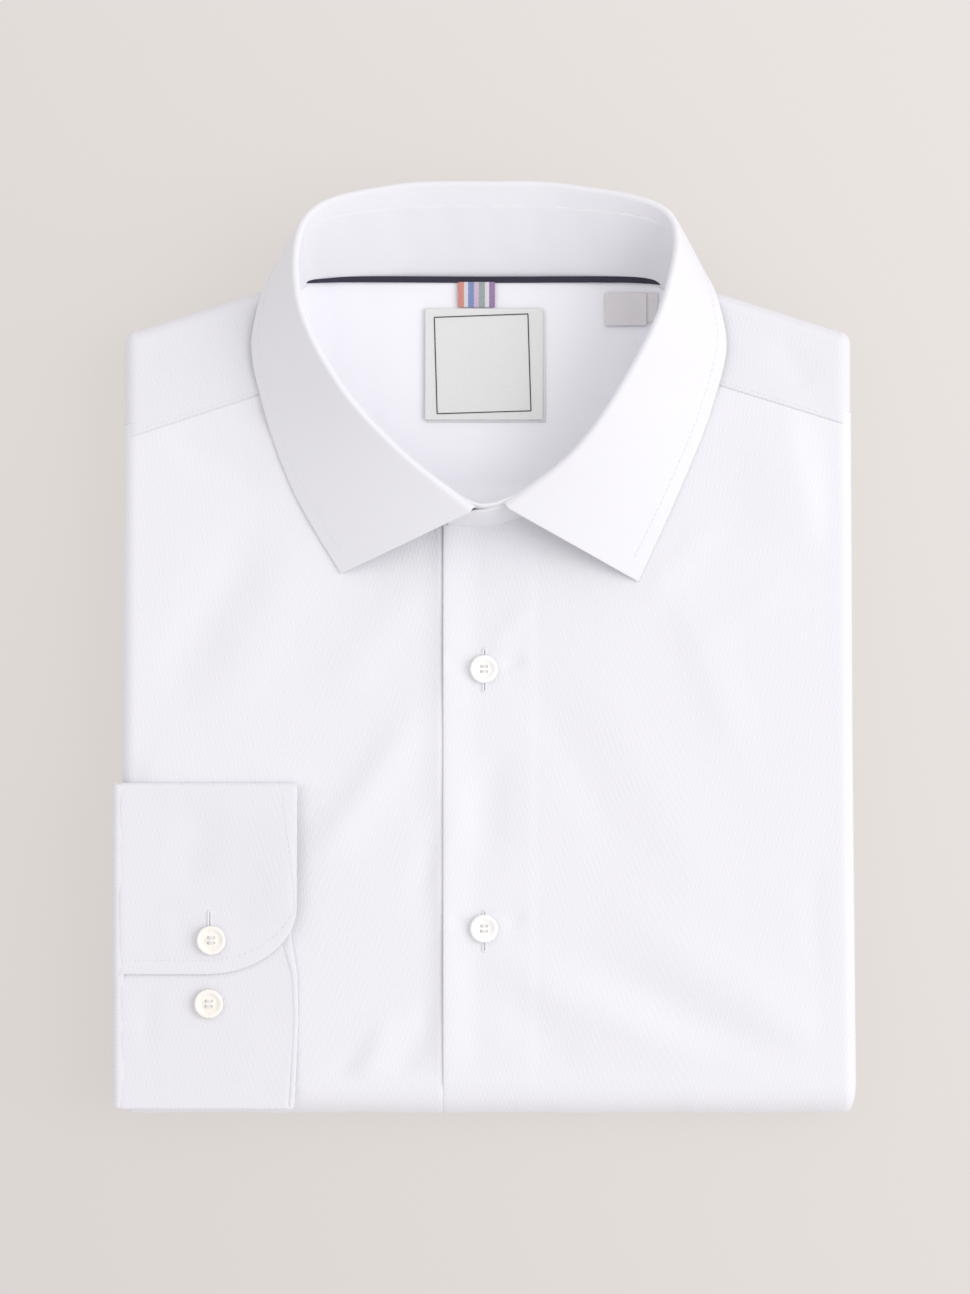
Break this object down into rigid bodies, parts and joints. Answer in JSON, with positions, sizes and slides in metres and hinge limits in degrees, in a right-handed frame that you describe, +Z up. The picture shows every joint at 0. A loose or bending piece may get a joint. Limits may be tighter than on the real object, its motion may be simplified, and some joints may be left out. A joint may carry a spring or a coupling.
{
  "type": "folded dress shirt",
  "caption": "White long-sleeved dress shirt folded flat, face up, with a spread collar standing open and one cuff laid over the front.",
  "frame": {"origin": "middle of the underside, on the surface that the folded shirt lies on", "axes": "+X towards the wearer's left front, +Y towards the collar, +Z up from the surface"},
  "size_m": [0.2778, 0.3491, 0.0528],
  "materials": {
    "white_cotton": "matte",
    "plain_cotton": "matte",
    "navy_tape": "matte",
    "striped_ribbon": "satin",
    "grey_satin": "satin",
    "white_button": "gloss",
    "ivory_button": "gloss"
  },
  "bodies": {
    "root": {"front_left": "white_cotton", "front_right": "white_cotton", "yoke_outer": "white_cotton", "folded_back": "white_cotton", "sleeve_right": "white_cotton", "sleeve_left": "white_cotton", "cuff_right": "white_cotton", "collar_stand": "white_cotton", "collar_leaf": "white_cotton", "yoke_inner": "plain_cotton", "neck_tape": "navy_tape", "hanger_loop": "striped_ribbon", "neck_label": "grey_satin", "care_label": "grey_satin", "button_front_1": "white_button", "button_front_2": "white_button", "button_cuff_1": "ivory_button", "button_cuff_2": "ivory_button"}
  },
  "joints": []
}
